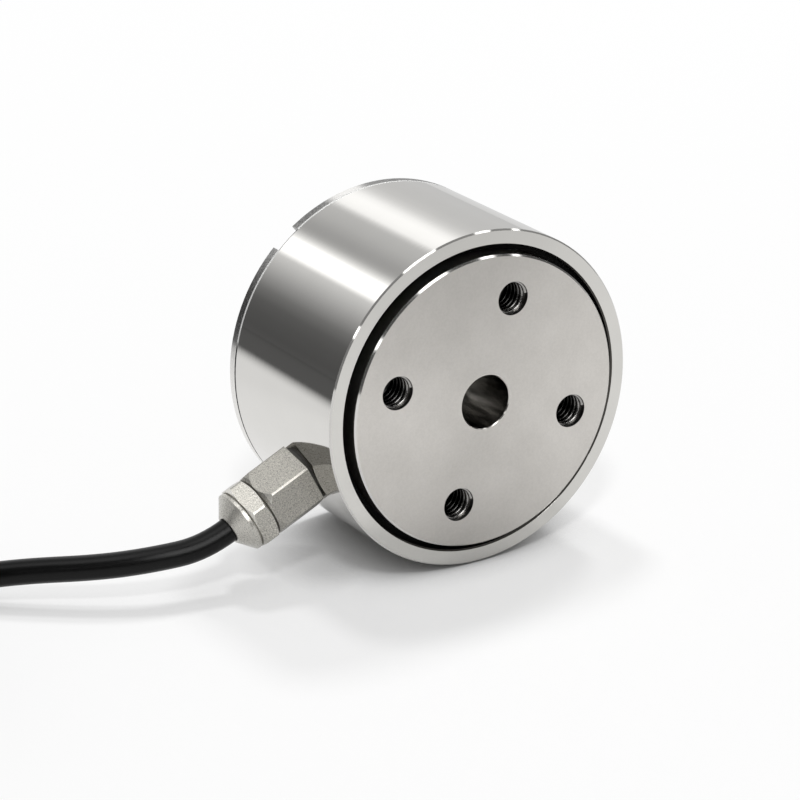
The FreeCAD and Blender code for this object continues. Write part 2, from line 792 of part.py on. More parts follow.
def make_cable_ties():
    """A strap round each side of the hank, with its locking head on top."""
    ways = (("cable_tie_1", "1", "top_turn_crown"), ("cable_tie_2", "-1", "hank_top + tie_thickness / 2"))
    for label, side, crown in ways:
        body = new_body(label)
        strap = new_sketch(body, "strap_outline", "YZ_Plane", f"{side} * tie_offset")
        add_polygon(strap, tie_outline(side, crown, "(tie_fit + tie_thickness)"))
        add_polygon(strap, tie_outline(side, crown, "tie_fit"))
        doc.recompute()
        add_pad(body, "strap", strap, "tie_width", both_sides=True)
        head = new_sketch(body, "head_outline", "YZ_Plane", f"{side} * tie_offset")
        foot = f"{crown} + tie_fit + tie_thickness / 2"
        add_polygon(head, [
            (f"{side} * (top_turn_radius - tie_head_depth / 2)", foot),
            (f"{side} * (top_turn_radius + tie_head_depth / 2)", foot),
            (f"{side} * (top_turn_radius + tie_head_depth / 2)", f"{foot} + tie_head_height"),
            (f"{side} * (top_turn_radius - tie_head_depth / 2)", f"{foot} + tie_head_height"),
        ])
        doc.recompute()
        add_pad(body, "head", head, "tie_head_length", both_sides=True)
        body.Placement = hank_place()


def make_stripped_end():
    """Four leads and the drain wire, fanned out on top of the hank from the end of the last turn."""
    reach = value("hank_run") / 2 - value("top_turn_run")
    middle = Vector(reach, value("top_turn_radius"), value("top_turn_height"))
    along = Vector(-1, 0, 0)
    aside = Vector(0, 1, 0)
    half = value("core_spacing") / 2
    bed = value("hank_top") + value("tie_fit")
    near = value("lead_near_spread")
    fan = value("lead_spread")
    ways = {
        "red": (-half, half, -fan),
        "black": (-half, -half, -near),
        "green": (half, -half, near),
        "white": (half, half, fan),
    }
    tips = []
    for colour, (shift, rise, spread) in ways.items():
        way = lead_way(middle, along, aside, shift, rise, spread, bed + value("lead_radius"))
        add_shape("lead_" + colour, tube("lead_" + colour, way, value("core_diameter")), hank_place())
        heading = (way[-1] - way[-2]).normalize()
        tips.append(Part.makeCylinder(value("tip_diameter") / 2, value("tip_length"), way[-1], heading))
    add_shape("lead_tips", Part.makeCompound(tips), hank_place())
    drain = value("drain_diameter")
    way = lead_way(middle, along, aside, 0, 0, 0.05, bed + drain / 2)
    add_shape("drain_wire", tube("drain_wire", way, drain), hank_place())


def lead_way(middle, along, aside, shift, rise, spread, bed):
    """Straight out of the jacket, down to the hank's top and on with a growing spread."""
    start = middle + aside * shift + UP * rise
    bent = start + along * value("lead_straight")
    landing = middle + along * value("lead_rise") + aside * spread
    landing.z = bed
    end = middle + along * value("lead_length") + aside * (value("lead_fan") * spread)
    end.z = bed
    return [start, bent, landing, end]


def check_document():
    doc.recompute()
    for item in doc.Objects:
        faults = [state for state in item.State if state in ("Invalid", "Error")]
        require(not faults, f"{item.Label} is {faults}")
    for piece in pieces:
        shape = piece.Shape
        require(not shape.isNull() and shape.isValid(), f"{piece.Label} has no valid shape")
        require(shape.Solids, f"{piece.Label} has no solid")


def write_parts():
    os.makedirs("parts", exist_ok=True)
    for piece in pieces:
        piece.Shape.exportStep(f"parts/{piece.Label}.step")
    print(len(pieces), "parts written")


fill_sheet()
make_elastic_body()
make_housing_sleeve()
make_gap_seal()
make_gland_body()
make_gland_nut()
make_gland_rings()
make_bridge()
make_cable()
make_cable_hank()
make_cable_ties()
make_stripped_end()
check_document()
write_parts()
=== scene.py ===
"""Looks of the miniature load cell: turned stainless cell, nickel gland, black cable and its hank.

Everything is in metres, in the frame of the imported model: +Z up, load face towards -Y, cable towards -X.
"""
import bpy
import math
from mathutils import Matrix, Vector


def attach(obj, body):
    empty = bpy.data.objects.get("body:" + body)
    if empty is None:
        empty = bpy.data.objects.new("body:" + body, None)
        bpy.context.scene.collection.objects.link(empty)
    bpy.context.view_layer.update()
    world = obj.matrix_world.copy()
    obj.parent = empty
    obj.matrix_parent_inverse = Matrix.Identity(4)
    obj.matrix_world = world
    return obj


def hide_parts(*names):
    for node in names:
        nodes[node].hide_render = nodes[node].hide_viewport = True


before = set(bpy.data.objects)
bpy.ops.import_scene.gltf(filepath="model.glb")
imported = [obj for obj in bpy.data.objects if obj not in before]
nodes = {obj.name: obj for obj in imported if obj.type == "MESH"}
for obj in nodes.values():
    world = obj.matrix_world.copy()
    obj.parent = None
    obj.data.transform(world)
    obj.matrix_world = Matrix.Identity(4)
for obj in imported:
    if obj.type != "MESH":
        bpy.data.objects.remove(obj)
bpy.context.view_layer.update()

MM = 0.001

# Sizes shared with the solids

BODY_RADIUS = 28.5 * MM
BODY_LENGTH = 33.3 * MM
LOAD_FACE = -BODY_LENGTH / 2
BASE_FACE = BODY_LENGTH / 2
SLEEVE_FRONT = LOAD_FACE + 1.42 * MM
SLEEVE_CHAMFER = 0.25 * MM
MOUTH_CHAMFER = 0.25 * MM
RIM_FRONT = BASE_FACE - 1.8 * MM
RIM_INSIDE = 27.6 * MM
JOINT_CHAMFER = 0.22 * MM
NOTCH_ANGLE = math.radians(129.5)
NOTCH_WIDTH = 4.7 * MM
DISC_RADIUS = 24.7 * MM
GAP_OUTER = DISC_RADIUS + 1.15 * MM
BORE_RADIUS = 4.5 * MM
BOLT_CIRCLE = 35.0 * MM
BOLT_COUNT = 4
BOLT_ANGLE = math.radians(-16.8)
TAPPED_RADIUS = 2.825 * MM
TAPPED_DEPTH = 6.5 * MM
GLAND_ANGLE = math.radians(205.1)
GLAND_PLACE = -1.95 * MM
HEX_FLAT = 5.3 * MM
HEX_END = 37.31 * MM
HEX_SLOPE = math.tan(math.radians(60))
NUT_START = 37.66 * MM
NUT_END = 40.71 * MM
NUT_SLOPE = math.tan(math.radians(30))
CABLE_DIAMETER = 4.2 * MM
GAUGE_COUNT = 4
CORE_COLOURS = ("red", "black", "green", "white")


# Camera

CAMERA_PLACE = (-0.26405, -0.40634, 0.21453)
CAMERA_RIGHT = (0.8439, -0.5364, 0.0)
CAMERA_BACK = (-0.499, -0.785, 0.367)
SENSOR_WIDTH = 36.0
LENS_LENGTH = 141.6
NEAREST_VIEW = 0.01
FARTHEST_VIEW = 20.0


def place_camera():
    data = bpy.data.cameras.new("photo_camera")
    data.sensor_width = SENSOR_WIDTH
    data.lens = LENS_LENGTH
    data.clip_start = NEAREST_VIEW
    data.clip_end = FARTHEST_VIEW
    camera = bpy.data.objects.new("photo_camera", data)
    back = Vector(CAMERA_BACK).normalized()
    right = Vector(CAMERA_RIGHT).normalized()
    up = back.cross(right)
    turn = Matrix((right, up, back)).transposed().to_4x4()
    camera.matrix_world = Matrix.Translation(CAMERA_PLACE) @ turn
    bpy.context.scene.collection.objects.link(camera)
    bpy.context.scene.camera = camera


# Cable, in millimetres until its points are set

CABLE_ROUTE = [
    (-39.54, -1.95, 9.98),
    (-44.06, -1.95, 7.86),
    (-52.4, -0.3, 7.2),
    (-60.3, 3.5, 6.3),
    (-70.8, 10.8, 5.4),
    (-79.3, 16.8, 3.6),
    (-87.5, 20.32, 3.0),
    (-96.5, 20.32, 3.0),
]
HANK_CENTRE = (-127.5, 0.2)
HANK_HALF_RUN = 17.0
HANK_PITCH = 4.3
HANK_ROWS = 6
HANK_ROW_TURNS = 1.75
HANK_TURNS = HANK_ROWS * HANK_ROW_TURNS
HANK_INNER = 12.6
HANK_OUTER = HANK_INNER + HANK_ROW_TURNS * HANK_PITCH
HANK_FIRST_ROW = 3.0
HANK_LAST_ROW = HANK_FIRST_ROW + (HANK_ROWS - 1) * HANK_PITCH
HANK_CLIMB = 0.25
FOLD_STEP = 30.0
FOLD_ANGLE = 180.0
TOP_TURNS = 0.5
TOP_TURN_RADIUS = (HANK_INNER + HANK_OUTER) / 2
TOP_TURN_HEIGHT = 28.6
TOP_TURN_RUN = 10.0
TOP_SHIFT = (0.12, 0.24)
CLIMB_STOPS = [(0.32, 0.05), (0.58, 0.85)]
CURVE_ORDER = 3
CURVE_STEPS = 8
ROUND_STEPS = 6


def smooth(share):
    share = min(max(share, 0.0), 1.0)
    return share * share * (3 - 2 * share)


def winding(turns):
    """Fold radius and height after that many turns: rows one on the other, then the last turn."""
    row = int(turns / HANK_ROW_TURNS)
    within = turns - row * HANK_ROW_TURNS
    if row >= HANK_ROWS:
        shift = smooth((turns - HANK_TURNS - TOP_SHIFT[0]) / (TOP_SHIFT[1] - TOP_SHIFT[0]))
        radius = HANK_OUTER + (TOP_TURN_RADIUS - HANK_OUTER) * shift
        return radius, HANK_LAST_ROW if shift == 0 else TOP_TURN_HEIGHT
    start, end = (HANK_INNER, HANK_OUTER) if row % 2 else (HANK_OUTER, HANK_INNER)
    if row == 0:
        return start + (end - start) * within / HANK_ROW_TURNS, HANK_FIRST_ROW
    share = max(within - HANK_CLIMB, 0.0) / (HANK_ROW_TURNS - HANK_CLIMB)
    height = HANK_FIRST_ROW + HANK_PITCH * (row - 1 + smooth(within / HANK_CLIMB))
    return start + (end - start) * share, height


def hank_stations():
    """One turn's stops: its share of the turn, which fold it belongs to and the angle there."""
    fold = math.pi * (HANK_INNER + HANK_OUTER) / 2
    run = 2 * HANK_HALF_RUN
    whole = 2 * (fold + run)
    corner = math.tan(math.radians(FOLD_STEP / 2)) * fold / math.pi
    stations = []
    for side in (0, 1):
        base = side * (fold + run)
        stations.append(((base + corner) / whole, side, "leave", 0.0))
        stations.append(((base + run - corner) / whole, side, "arrive", 0.0))
        for index in range(int(FOLD_ANGLE / FOLD_STEP)):
            angle = (index + 0.5) * FOLD_STEP
            share = (base + run + fold * angle / FOLD_ANGLE) / whole
            stations.append((share, side, "fold", angle))
    return stations


def hank_point(turns, side, kind, angle):
    """A corner of the outline that the wound cable touches."""
    radius, height = winding(turns)
    half_step = math.radians(FOLD_STEP / 2)
    corner = radius * math.tan(half_step)
    if kind == "fold":
        reach = radius / math.cos(half_step)
        along = -HANK_HALF_RUN - reach * math.sin(math.radians(angle))
        across = reach * math.cos(math.radians(angle))
    else:
        along = HANK_HALF_RUN - corner if kind == "leave" else corner - HANK_HALF_RUN
        across = radius
    facing = -1 if side else 1
    return (HANK_CENTRE[0] + facing * along, HANK_CENTRE[1] + facing * across, height)


def climb_points():
    """The last turn's way up, along the front run."""
    points = []
    for share, climb in CLIMB_STOPS:
        along = HANK_CENTRE[0] + HANK_HALF_RUN * (2 * share - 1)
        height = HANK_LAST_ROW + (TOP_TURN_HEIGHT - HANK_LAST_ROW) * climb
        points.append((along, HANK_CENTRE[1] - HANK_OUTER, height))
    return points


def hank_points():
    last_turn = HANK_TURNS + TOP_TURNS
    points = []
    for turn in range(int(last_turn) + 1):
        for share, side, kind, angle in hank_stations():
            if turn + share > last_turn:
                break
            if turn + share > HANK_TURNS and kind == "arrive":
                points += climb_points()
            points.append(hank_point(turn + share, side, kind, angle))
    end = HANK_CENTRE[0] + HANK_HALF_RUN
    back = HANK_CENTRE[1] + TOP_TURN_RADIUS
    points.append((end - TOP_TURN_RUN / 2, back, TOP_TURN_HEIGHT))
    points.append((end - TOP_TURN_RUN, back, TOP_TURN_HEIGHT))
    return points


def make_cable():
    """One smooth line from the gland to the stripped end, as round as the jacket."""
    curve = bpy.data.curves.new("cable_run", "CURVE")
    curve.dimensions = "3D"
    spline = curve.splines.new("NURBS")
    points = CABLE_ROUTE + hank_points()
    spline.points.add(len(points) - 1)
    for point, place in zip(spline.points, points):
        point.co = (place[0] * MM, place[1] * MM, place[2] * MM, 1.0)
    spline.order_u = CURVE_ORDER
    spline.use_endpoint_u = True
    spline.resolution_u = CURVE_STEPS
    curve.bevel_depth = CABLE_DIAMETER / 2
    curve.bevel_resolution = ROUND_STEPS
    curve.use_fill_caps = True
    cable = bpy.data.objects.new("cable_run", curve)
    bpy.context.scene.collection.objects.link(cable)
    return cable


place_camera()
cable_run = make_cable()


# Node building

RISING = (0.0, 1.0)
FALLING = (1.0, 0.0)


def feed(tree, term, socket):
    """Give a socket a link or a plain value."""
    if isinstance(term, bpy.types.NodeSocket):
        tree.links.new(term, socket)
    else:
        socket.default_value = term


def add_node(tree, kind, inputs=None, **settings):
    node = tree.nodes.new(kind)
    for name, setting in settings.items():
        setattr(node, name, setting)
    for key, term in (inputs or {}).items():
        feed(tree, term, node.inputs[key])
    return node


def math_node(tree, operation, first, second=None):
    inputs = {0: first} if second is None else {0: first, 1: second}
    return add_node(tree, "ShaderNodeMath", inputs, operation=operation).outputs[0]


def product(tree, first, second):
    return math_node(tree, "MULTIPLY", first, second)


def total(tree, first, second):
    return math_node(tree, "ADD", first, second)


def difference(tree, first, second):
    return math_node(tree, "SUBTRACT", first, second)


def larger(tree, first, second):
    return math_node(tree, "MAXIMUM", first, second)


def above(tree, reading, limit):
    return math_node(tree, "GREATER_THAN", reading, limit)


def below(tree, reading, limit):
    return math_node(tree, "LESS_THAN", reading, limit)


def hypotenuse(tree, first, second):
    lengths = [math_node(tree, "ABSOLUTE", side) for side in (first, second)]
    squares = [math_node(tree, "POWER", length, 2.0) for length in lengths]
    return math_node(tree, "SQRT", total(tree, *squares))


def map_range(tree, source, span, reach, smoothly=False):
    """Carry a reading from one span to another, held at both ends."""
    inputs = {
        "Value": source,
        "From Min": span[0],
        "From Max": span[1],
        "To Min": reach[0],
        "To Max": reach[1],
    }
    kind = "SMOOTHSTEP" if smoothly else "LINEAR"
    node = add_node(tree, "ShaderNodeMapRange", inputs, clamp=True, interpolation_type=kind)
    return node.outputs["Result"]


def opaque(colour):
    return (*colour, 1.0) if isinstance(colour, tuple) else colour


def mixed(tree, share, first, second):
    """A colour between two others, each of them plain or changing over the surface."""
    inputs = {"Factor": share, "A": opaque(first), "B": opaque(second)}
    return add_node(tree, "ShaderNodeMix", inputs, data_type="RGBA").outputs["Result"]


def noise(tree, vector, character):
    """Smooth noise of unit size; its character is how much detail it has and how rough that is."""
    detail, roughness = character
    inputs = {"Vector": vector, "Scale": 1.0, "Detail": detail, "Roughness": roughness}
    return add_node(tree, "ShaderNodeTexNoise", inputs).outputs["Fac"]


def bump(tree, shader, height, depth, strength):
    inputs = {"Height": height, "Distance": depth, "Strength": strength}
    node = add_node(tree, "ShaderNodeBump", inputs)
    tree.links.new(node.outputs["Normal"], shader.inputs["Normal"])


def new_material(name):
    material = bpy.data.materials.new(name)
    material.use_nodes = True
    tree = material.node_tree
    return material, tree, tree.nodes["Principled BSDF"]


def new_group(name, inputs, outputs):
    group = bpy.data.node_groups.new(name, "ShaderNodeTree")
    for label, default in inputs.items():
        socket = group.interface.new_socket(label, in_out="INPUT", socket_type="NodeSocketFloat")
        socket.default_value = default
    for label in outputs:
        group.interface.new_socket(label, in_out="OUTPUT", socket_type="NodeSocketFloat")
    entry = group.nodes.new("NodeGroupInput")
    leave = group.nodes.new("NodeGroupOutput")
    return group, entry.outputs, leave.inputs


def place_group(tree, group, **settings):
    inputs = {label.capitalize(): setting for label, setting in settings.items()}
    return add_node(tree, "ShaderNodeGroup", inputs, node_tree=group).outputs


def object_place(tree):
    return add_node(tree, "ShaderNodeTexCoord").outputs["Object"]


def cell_place(tree):
    """Where a point lies: across the load axis, along it and above it."""
    split = add_node(tree, "ShaderNodeSeparateXYZ", {0: object_place(tree)}).outputs
    return split["X"], split["Y"], difference(tree, split["Z"], BODY_RADIUS)


def turned(tree, across, height, angle):
    """Distances along two centre lines that are turned by an angle about the load axis."""
    cosine = math.cos(angle)
    sine = math.sin(angle)
    first = total(tree, product(tree, across, cosine), product(tree, height, sine))
    second = total(tree, product(tree, height, cosine), product(tree, across, -sine))
    return first, second


# Effects that several finishes share

MARK_PITCH = 0.25 * MM
MARK_DRIFT = 12 * MM
MARK_CHARACTER = (3.0, 0.6)
PATCH_SIZE = 6 * MM
PATCH_CHARACTER = (4.0, 0.55)
GRAIN_SIZE = 0.2 * MM
GRAIN_CHARACTER = (3.0, 0.65)
ZONE_MARGIN = 0.02 * MM
EDGE_BREAK = 0.3 * MM
JOINT_BAND = 0.15 * MM
HOLE_SHADE = (0.5 * MM, 3.6 * MM)
# Where painted light falls on the rear rim: pale painted sheen low down and in an arc near the crown; the
# joint gets painted shade low down.
LOW_HEIGHTS = (4.6 * MM, 6.2 * MM)
CROWN_START = (math.radians(94), math.radians(99))
CROWN_END = (math.radians(107), math.radians(112))
# Painted sheen on faced surfaces: tone paler to the sides of the axis, darker above and below it.
FAN_MIDDLE = 0.4
FAN_LEAN = math.radians(9)
ZONES = [
    "Holes", "Depth", "Bore", "Mouth",
    "Rim", "Sheen", "Low", "Joint", "Notch",
    "Front", "Edges", "Gap", "Corner", "Fan",
]


def make_turning_marks():
    """Fine rings left by the lathe: grooves round the load axis on walls, circles on faces."""
    sizes = {"Pitch": MARK_PITCH, "Drift": MARK_DRIFT}
    group, entry, leave = new_group("turning_marks", sizes, ["Marks"])
    across, along, height = cell_place(group)
    radius = hypotenuse(group, across, height)
    around = total(group, across, height)
    join = add_node(group, "ShaderNodeCombineXYZ", {
        "X": math_node(group, "DIVIDE", radius, entry["Pitch"]),
        "Y": math_node(group, "DIVIDE", along, entry["Pitch"]),
        "Z": math_node(group, "DIVIDE", around, entry["Drift"]),
    })
    group.links.new(noise(group, join.outputs[0], MARK_CHARACTER), leave["Marks"])
    return group


def make_speckle(name, output, size, character):
    """Even noise of a given size: cloudy patches on handled metal, or the fine grain of a skin."""
    group, entry, leave = new_group(name, {"Size": size}, [output])
    fineness = math_node(group, "DIVIDE", 1.0, entry["Size"])
    inputs = {0: object_place(group), "Scale": fineness}
    scaled = add_node(group, "ShaderNodeVectorMath", inputs, operation="SCALE")
    group.links.new(noise(group, scaled.outputs[0], character), leave[output])
    return group


def make_cell_zones():
    """Which part of the cell a point is on: holes, bore, rear rim, joint, front faces or edges, and where
    painted sheen and shade go.
    """
    group, _, leave = new_group("cell_zones", {}, ZONES)
    across, along, height = cell_place(group)
    from_axis = hypotenuse(group, across, height)

    def past(reading, limit):
        return above(group, reading, limit)

    def under(reading, limit):
        return below(group, reading, limit)

    def both(first, second):
        return product(group, first, second)

    bolt_lines = turned(group, across, height, BOLT_ANGLE)
    bolt_lines = [math_node(group, "ABSOLUTE", line) for line in bolt_lines]
    from_circle = difference(group, larger(group, *bolt_lines), BOLT_CIRCLE / 2)
    from_hole = hypotenuse(group, from_circle, math_node(group, "MINIMUM", *bolt_lines))
    notch_line = turned(group, across, height, NOTCH_ANGLE)[1]
    from_notch = math_node(group, "ABSOLUTE", notch_line)
    inward = difference(group, BASE_FACE, math_node(group, "ABSOLUTE", along))

    on_rim = past(from_axis, RIM_INSIDE)
    joint_start = RIM_FRONT - JOINT_CHAMFER - JOINT_BAND
    at_joint = both(past(along, joint_start), under(along, RIM_FRONT + ZONE_MARGIN))
    low = map_range(group, height, LOW_HEIGHTS, FALLING, smoothly=True)
    turn = math_node(group, "ARCTAN2", height, across)
    crown = both(
        map_range(group, turn, CROWN_START, RISING, smoothly=True),
        map_range(group, turn, CROWN_END, FALLING, smoothly=True),
    )
    # Fan: how much the painted facing sheen raises or lowers the tone.
    side_turn = math_node(group, "ARCTAN2", math_node(group, "ABSOLUTE", height), across)
    fan_turn = difference(group, both(side_turn, 2.0), 2.0 * FAN_LEAN)
    fan = difference(group, math_node(group, "COSINE", fan_turn), FAN_MIDDLE)
    readings = {
        "Holes": under(from_hole, TAPPED_RADIUS + ZONE_MARGIN),
        # Depth: how far into a hole, for its painted shade.
        "Depth": map_range(group, inward, HOLE_SHADE, RISING, smoothly=True),
        "Bore": under(from_axis, BORE_RADIUS + ZONE_MARGIN),
        "Mouth": under(from_axis, BORE_RADIUS + EDGE_BREAK),
        "Rim": both(past(along, RIM_FRONT), on_rim),
        # Sheen: where the rear rim gets a pale painted sheen.
        "Sheen": larger(group, low, crown),
        "Low": low,
        "Joint": both(at_joint, on_rim),
        "Notch": under(from_notch, NOTCH_WIDTH / 2),
        "Front": under(along, SLEEVE_FRONT + ZONE_MARGIN),
        "Edges": both(past(from_axis, DISC_RADIUS - EDGE_BREAK), under(along, LOAD_FACE + EDGE_BREAK)),
        "Gap": both(under(from_axis, GAP_OUTER + MOUTH_CHAMFER), past(along, SLEEVE_FRONT + ZONE_MARGIN)),
        "Corner": both(
            past(from_axis, BODY_RADIUS - SLEEVE_CHAMFER),
            under(along, SLEEVE_FRONT + SLEEVE_CHAMFER),
        ),
        "Fan": both(fan, math_node(group, "DIVIDE", from_axis, DISC_RADIUS)),
    }
    for zone, reading in readings.items():
        group.links.new(reading, leave[zone])
    return group


cell_zones = make_cell_zones()
turning_marks = make_turning_marks()
mottle = make_speckle("mottle", "Patches", PATCH_SIZE, PATCH_CHARACTER)
grain = make_speckle("grain", "Grains", GRAIN_SIZE, GRAIN_CHARACTER)


# Cell finishes: pairs of tones are the darker and the paler one

ROUGH_SPAN = (0.3, 0.7)
SPECK_SPAN = (0.35, 0.65)
# Painted light on the joint line: a near-white painted highlight, and near-black painted shade low down
# and at the notch.
JOINT_PAINTED_HIGHLIGHT = (0.92, 0.92, 0.91)
JOINT_PAINTED_SHADE = (0.05, 0.05, 0.05)
JOINT_ROUGHNESS = 0.6
CORNER_SCATTER = 0.3
# Painted shade inside the gap round the disc.
GAP_PAINTED_SHADE = (0.10, 0.098, 0.094)
# Painted shade deep in the tapped holes.
DEEP_PAINTED_SHADE = (0.03, 0.03, 0.029)

SLEEVE_MARKS = {"pitch": 0.35 * MM, "drift": 4 * MM}
SLEEVE_PATCH = 7 * MM
SLEEVE_WALL = ((0.67, 0.66, 0.637), (0.705, 0.695, 0.672))
SLEEVE_FACE = ((0.578, 0.569, 0.544), (0.643, 0.633, 0.605))
SLEEVE_PAINTED_SHEEN = (0.09, 0.985)
SLEEVE_ROUGHNESS = (0.035, 0.07)
SLEEVE_RELIEF = (0.006 * MM, 0.5)

BODY_MARKS = {"pitch": 0.22 * MM, "drift": 9 * MM}
BODY_PATCH = 9 * MM
BODY_GRAIN = 0.35 * MM
FINE_SHARE = 0.2
DISC_TONE = ((0.46, 0.443, 0.417), (0.63, 0.609, 0.579))
DISC_PAINTED_SHEEN = (0.17, 1.036)
RIM_TONE = ((0.19, 0.19, 0.185), (0.38, 0.375, 0.37))
RIM_PAINTED_SHEEN = (0.80, 0.79, 0.77)
# Paler tone on the disc's broken edge: painted highlight, on top of the edge's real gloss.
EDGE_PAINTED_HIGHLIGHT = ((0.62, 0.61, 0.59), (0.70, 0.69, 0.67))
# Painted shade in the bore and the holes, with paler streaks of painted reflection.
BORE_PAINTED_SHADE_AND_REFLECTION = ((0.19, 0.185, 0.173), (0.95, 0.93, 0.90))
DRILLED_PAINTED_SHADE = ((0.28, 0.275, 0.265), (0.42, 0.41, 0.395))
BODY_ROUGHNESS = (0.285, 0.335)
EDGE_GLOSS = 0.65
BORE_GLOSS = 0.4
BODY_RELIEF = (0.001 * MM, 0.3)
STREAK_SIZES = (2.6 * MM, 9 * MM, 2.6 * MM)
STREAK_CHARACTER = (1.0, 0.5)
STREAK_SPAN = (0.5, 0.7)

RIDGE_GRAIN = 0.3 * MM
RIDGE_TONE = ((0.24, 0.235, 0.228), (0.44, 0.43, 0.415))
RIDGE_ROUGHNESS = (0.15, 0.3)


def joint_line(tree, shader, zones, tone, roughness):
    """The joint before the rear rim: a fine pale line of painted highlight, with painted shade low down
    and where a notch cuts it.
    """
    dark_part = larger(tree, zones["Notch"], zones["Low"])
    joint_shade = product(tree, zones["Joint"], dark_part)
    pale = difference(tree, zones["Joint"], joint_shade)
    tone = mixed(tree, pale, tone, JOINT_PAINTED_HIGHLIGHT)
    tree.links.new(mixed(tree, joint_shade, tone, JOINT_PAINTED_SHADE), shader.inputs["Base Color"])
    scattered = larger(tree, pale, product(tree, zones["Corner"], CORNER_SCATTER))
    tree.links.new(difference(tree, 1.0, scattered), shader.inputs["Metallic"])
    rough = product(tree, pale, JOINT_ROUGHNESS)
    tree.links.new(larger(tree, roughness, rough), shader.inputs["Roughness"])


def painted_facing_sheen(tree, zones, tone, fan):
    """Painted sheen of fine facing rings: the tone is made paler to both sides of the axis and darker
    above and below it.
    """
    strength, middle = fan
    level = total(tree, product(tree, zones["Fan"], strength), middle)
    return add_node(tree, "ShaderNodeVectorMath", {0: tone, "Scale": level}, operation="SCALE").outputs[0]


def polished_sleeve():
    """Smooth wall with a mirror gloss, front face a little duller with a painted fan of sheen, painted
    shade inside the gap round the disc.
    """
    material, tree, shader = new_material("polished_turned_sleeve")
    marks = place_group(tree, turning_marks, **SLEEVE_MARKS)[0]
    patches = place_group(tree, mottle, size=SLEEVE_PATCH)[0]
    zones = place_group(tree, cell_zones)
    wall = mixed(tree, patches, *SLEEVE_WALL)
    face = painted_facing_sheen(tree, zones, mixed(tree, patches, *SLEEVE_FACE), SLEEVE_PAINTED_SHEEN)
    tone = mixed(tree, zones["Front"], wall, face)
    tone = mixed(tree, zones["Gap"], tone, GAP_PAINTED_SHADE)
    joint_line(tree, shader, zones, tone, map_range(tree, marks, ROUGH_SPAN, SLEEVE_ROUGHNESS))
    bump(tree, shader, marks, *SLEEVE_RELIEF)
    return material


def painted_reflection_streaks(tree):
    """Long soft streaks along the load axis, painted reflection in the bore and the holes."""
    fineness = [1 / size for size in STREAK_SIZES]
    inputs = {0: object_place(tree), 1: fineness}
    stretched = add_node(tree, "ShaderNodeVectorMath", inputs, operation="MULTIPLY")
    return map_range(tree, noise(tree, stretched.outputs[0], STREAK_CHARACTER), STREAK_SPAN, RISING)


def satin_body():
    """Disc finely faced with painted sheen and a broken edge paled by painted highlight; rear rim grainy
    with pale painted sheen; holes and bore darkened by painted shade, with streaks of painted reflection.
    """
    material, tree, shader = new_material("satin_faced_body")
    marks = place_group(tree, turning_marks, **BODY_MARKS)[0]
    patches = place_group(tree, mottle, size=BODY_PATCH)[0]
    grains = place_group(tree, grain, size=BODY_GRAIN)[0]
    specks = map_range(tree, grains, SPECK_SPAN, RISING)
    zones = place_group(tree, cell_zones)
    streaks = painted_reflection_streaks(tree)
    tones_by_zone = {
        # The rim's pale arcs are painted sheen.
        "Rim": mixed(tree, zones["Sheen"], mixed(tree, specks, *RIM_TONE), RIM_PAINTED_SHEEN),
        "Edges": mixed(tree, patches, *EDGE_PAINTED_HIGHLIGHT),
        "Bore": mixed(tree, streaks, *BORE_PAINTED_SHADE_AND_REFLECTION),
        "Holes": mixed(tree, zones["Depth"], mixed(tree, streaks, *DRILLED_PAINTED_SHADE), DEEP_PAINTED_SHADE),
    }
    broad = product(tree, patches, 1.0 - FINE_SHARE)
    fine = product(tree, specks, FINE_SHARE)
    tone = mixed(tree, total(tree, broad, fine), *DISC_TONE)
    # Painted sheen fanning over the faced disc.
    tone = painted_facing_sheen(tree, zones, tone, DISC_PAINTED_SHEEN)
    for zone, zone_tone in tones_by_zone.items():
        tone = mixed(tree, zones[zone], tone, zone_tone)
    dull = map_range(tree, marks, ROUGH_SPAN, BODY_ROUGHNESS)
    edge_part = product(tree, zones["Edges"], EDGE_GLOSS)
    mouth_part = product(tree, zones["Mouth"], BORE_GLOSS)
    rough_part = difference(tree, 1.0, larger(tree, edge_part, mouth_part))
    joint_line(tree, shader, zones, tone, product(tree, dull, rough_part))
    bump(tree, shader, marks, *BODY_RELIEF)
    return material


def cut_thread():
    """Ridges bright near the mouth of a hole, darkened further in by painted shade."""
    material, tree, shader = new_material("cut_thread")
    shader.inputs["Metallic"].default_value = 1.0
    grains = place_group(tree, grain, size=RIDGE_GRAIN)[0]
    depth = place_group(tree, cell_zones)["Depth"]
    tone = mixed(tree, depth, mixed(tree, grains, *RIDGE_TONE), DEEP_PAINTED_SHADE)
    tree.links.new(tone, shader.inputs["Base Color"])
    tree.links.new(map_range(tree, grains, ROUGH_SPAN, RIDGE_ROUGHNESS), shader.inputs["Roughness"])
    return material


# Gland finish

GLAND_METAL = 0.6
GLAND_GRAIN = 0.19 * MM
GLAND_SPECKS = (0.46, 0.70)
GLAND_ROUGHNESS = (0.24, 0.36)
GLAND_RELIEF = (0.012 * MM, 0.6)
# Painted light on the gland: nut and taper toned paler than the hexagon, upper chamfers paler still.
HEX_TONE = ((0.325, 0.314, 0.284), (0.64, 0.618, 0.563))
NUT_PAINTED_LIGHT_TONE = ((0.43, 0.417, 0.378), (0.82, 0.795, 0.73))
CONE_PAINTED_LIGHT_TONE = ((0.55, 0.535, 0.492), (0.80, 0.78, 0.72))
HEX_CHAMFER_PAINTED_LIGHT = (0.74, 0.72, 0.66)
NUT_CHAMFER_PAINTED_LIGHT = (0.93, 0.91, 0.85)
HEX_CHAMFER_EDGE = 0.45 * MM
NUT_CHAMFER_EDGE = -ZONE_MARGIN


